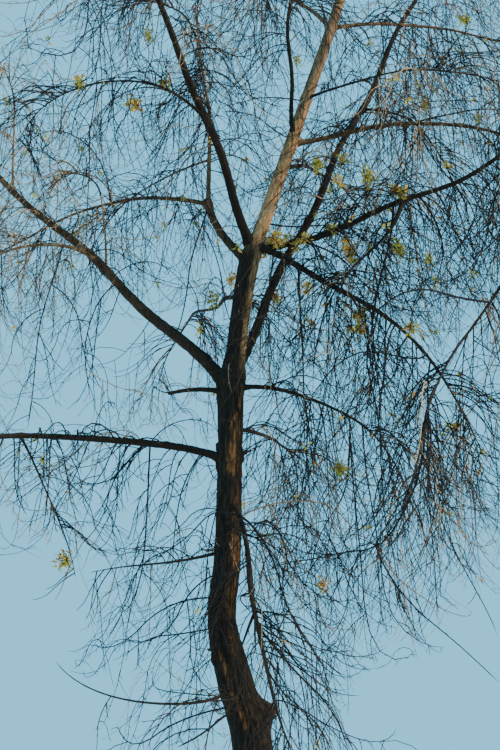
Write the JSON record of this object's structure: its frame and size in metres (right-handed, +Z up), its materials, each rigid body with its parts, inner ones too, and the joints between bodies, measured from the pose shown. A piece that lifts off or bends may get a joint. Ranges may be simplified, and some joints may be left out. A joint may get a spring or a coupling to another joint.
{
  "type": "bare winter tree",
  "caption": "Bare winter tree with a leaning, twice-forked trunk, long arching boughs and hanging masses of thin twigs, fixed in the ground at its foot.",
  "frame": {"origin": "middle of the flat cut under the trunk, at ground level", "axes": "+Z up along the height, -Y towards the viewer, +X to the viewer's right"},
  "size_m": [8.9307, 7.2865, 12.6762],
  "materials": {
    "bark": "rough, furrowed lengthwise",
    "twigs": "matte"
  },
  "bodies": {
    "root": {"trunk": "bark", "back_bough": "bark", "dead_stub": "bark", "left_arching_bough": "bark", "left_bough": "bark", "left_fork": "bark", "left_hanging_limb": "bark", "left_inner_shoot": "bark", "left_outer_shoot": "bark", "left_rising_bough": "bark", "left_rising_limb": "bark", "low_back_bough": "bark", "low_front_bough": "bark", "low_left_bough": "bark", "low_left_hanging_limb": "bark", "low_right_bough": "bark", "right_bough": "bark", "right_drooping_bough": "bark", "right_hanging_limb": "bark", "right_leader": "bark", "right_leader_limb": "bark", "right_weeping_limb": "bark", "top_left_bough": "bark", "top_right_bough": "bark", "upper_back_bough": "bark", "upper_front_bough": "bark", "upper_left_bough": "bark", "upper_left_limb": "bark", "upper_right_bough": "bark", "upper_right_front_bough": "bark", "back_bough_twigs": "twigs", "left_arching_bough_twigs": "twigs", "left_bough_twigs": "twigs", "left_hanging_limb_twigs": "twigs", "left_inner_shoot_twigs": "twigs", "left_outer_shoot_twigs": "twigs", "left_rising_bough_twigs": "twigs", "left_rising_limb_twigs": "twigs", "low_back_bough_twigs": "twigs", "low_front_bough_twigs": "twigs", "low_left_bough_twigs": "twigs", "low_left_hanging_limb_twigs": "twigs", "low_right_bough_twigs": "twigs", "lower_trunk_shoots": "twigs", "right_bough_twigs": "twigs", "right_drooping_bough_twigs": "twigs", "right_hanging_limb_twigs": "twigs", "right_leader_limb_twigs": "twigs", "right_leader_twigs": "twigs", "right_weeping_limb_twigs": "twigs", "top_left_bough_twigs": "twigs", "top_right_bough_twigs": "twigs", "top_twigs": "twigs", "upper_back_bough_twigs": "twigs", "upper_front_bough_twigs": "twigs", "upper_left_bough_twigs": "twigs", "upper_left_limb_twigs": "twigs", "upper_right_bough_twigs": "twigs", "upper_right_front_bough_twigs": "twigs", "upper_trunk_shoots": "twigs"}
  },
  "joints": []
}
